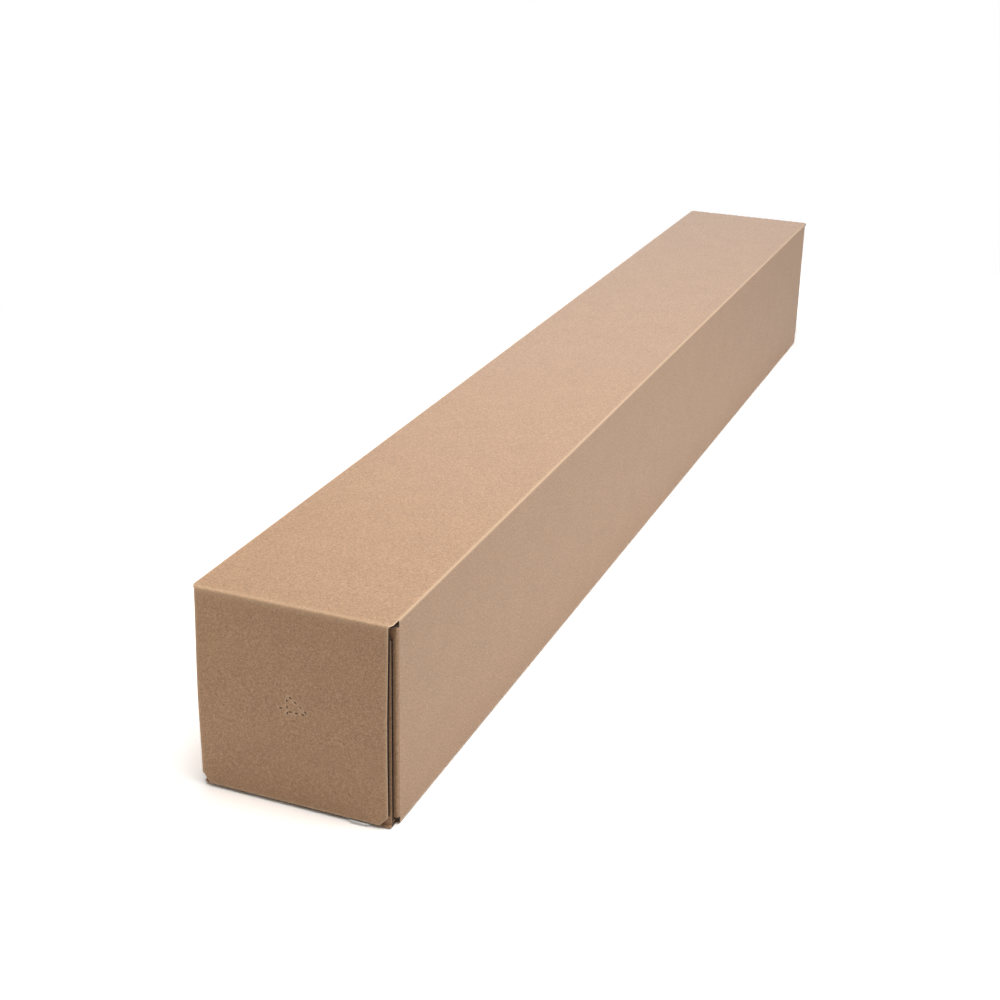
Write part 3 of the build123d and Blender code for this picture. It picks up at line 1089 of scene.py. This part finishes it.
class SHIPPINGBOX_OT_inner_flaps(bpy.types.Operator):
    """Makes the inner flap and the dust flaps of both ends."""

    bl_idname = "shippingbox.inner_flaps"
    bl_label = "Make inner and dust flaps"

    def execute(self, context):
        scene = context.scene
        finishes = board_finishes(scene.box_colours)
        for end in END_SIGNS:
            make_inner_flap(scene.box_sizes, scene.board_sizes, finishes, end)
            make_dust_flaps(scene.box_sizes, scene.board_sizes, finishes, end)
        return {"FINISHED"}


class SHIPPINGBOX_OT_strips(bpy.types.Operator):
    """Finishes the adhesive strips and makes the release paper over them."""

    bl_idname = "shippingbox.strips"
    bl_label = "Make adhesive strips"

    def execute(self, context):
        scene = context.scene
        tacky = adhesive_finish(scene.box_colours)
        paper = release_paper_finish(scene.box_colours)
        for end in END_SIGNS:
            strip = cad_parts[f"{end}_adhesive_strip"]
            strip.data.materials.clear()
            strip.data.materials.append(tacky)
            make_release_liner(scene.box_sizes, paper, end)
        return {"FINISHED"}


class SHIPPINGBOX_OT_stage(bpy.types.Operator):
    """Sets the floor, the lights and the camera."""

    bl_idname = "shippingbox.stage"
    bl_label = "Set stage"

    def execute(self, context):
        context.scene.view_settings.view_transform = "Standard"
        make_floor(context.scene.box_colours)
        make_world()
        for name, place, size, power, tint in SOFTBOXES:
            make_softbox(name, place, size, power, tint)
        make_camera()
        return {"FINISHED"}


class SHIPPINGBOX_PT_panel(bpy.types.Panel):
    """Sizes, colours and makers of the shipping box."""

    bl_idname = "SHIPPINGBOX_PT_panel"
    bl_label = "Shipping Box"
    bl_space_type = "VIEW_3D"
    bl_region_type = "UI"
    bl_category = "Shipping Box"

    def draw(self, context):
        for group_name, group in GROUPS.items():
            column = self.layout.column(align=True)
            for name in group.__annotations__:
                column.prop(getattr(context.scene, group_name), name)
        for operator in OPERATORS:
            self.layout.operator(operator.bl_idname)


GROUPS = {
    "board_sizes": BoardSizes,
    "box_sizes": BoxSizes,
    "mark_sizes": MarkSizes,
    "box_colours": BoxColours,
}
OPERATORS = (
    SHIPPINGBOX_OT_tube,
    SHIPPINGBOX_OT_outer_flaps,
    SHIPPINGBOX_OT_inner_flaps,
    SHIPPINGBOX_OT_strips,
    SHIPPINGBOX_OT_stage,
)


def register():
    for group in GROUPS.values():
        bpy.utils.register_class(group)
    for operator in (*OPERATORS, SHIPPINGBOX_PT_panel):
        bpy.utils.register_class(operator)
    for name, group in GROUPS.items():
        setattr(bpy.types.Scene, name, bpy.props.PointerProperty(type=group))


def unregister():
    for name in GROUPS:
        delattr(bpy.types.Scene, name)
    for operator in reversed((*OPERATORS, SHIPPINGBOX_PT_panel)):
        bpy.utils.unregister_class(operator)
    for group in reversed(GROUPS.values()):
        bpy.utils.unregister_class(group)


def main():
    """Makes the pieces and the stage in order."""
    register()
    bpy.ops.shippingbox.tube()
    bpy.ops.shippingbox.outer_flaps()
    bpy.ops.shippingbox.inner_flaps()
    bpy.ops.shippingbox.strips()
    bpy.ops.shippingbox.stage()
    bpy.context.view_layer.update()


if __name__ == "__main__":
    main()
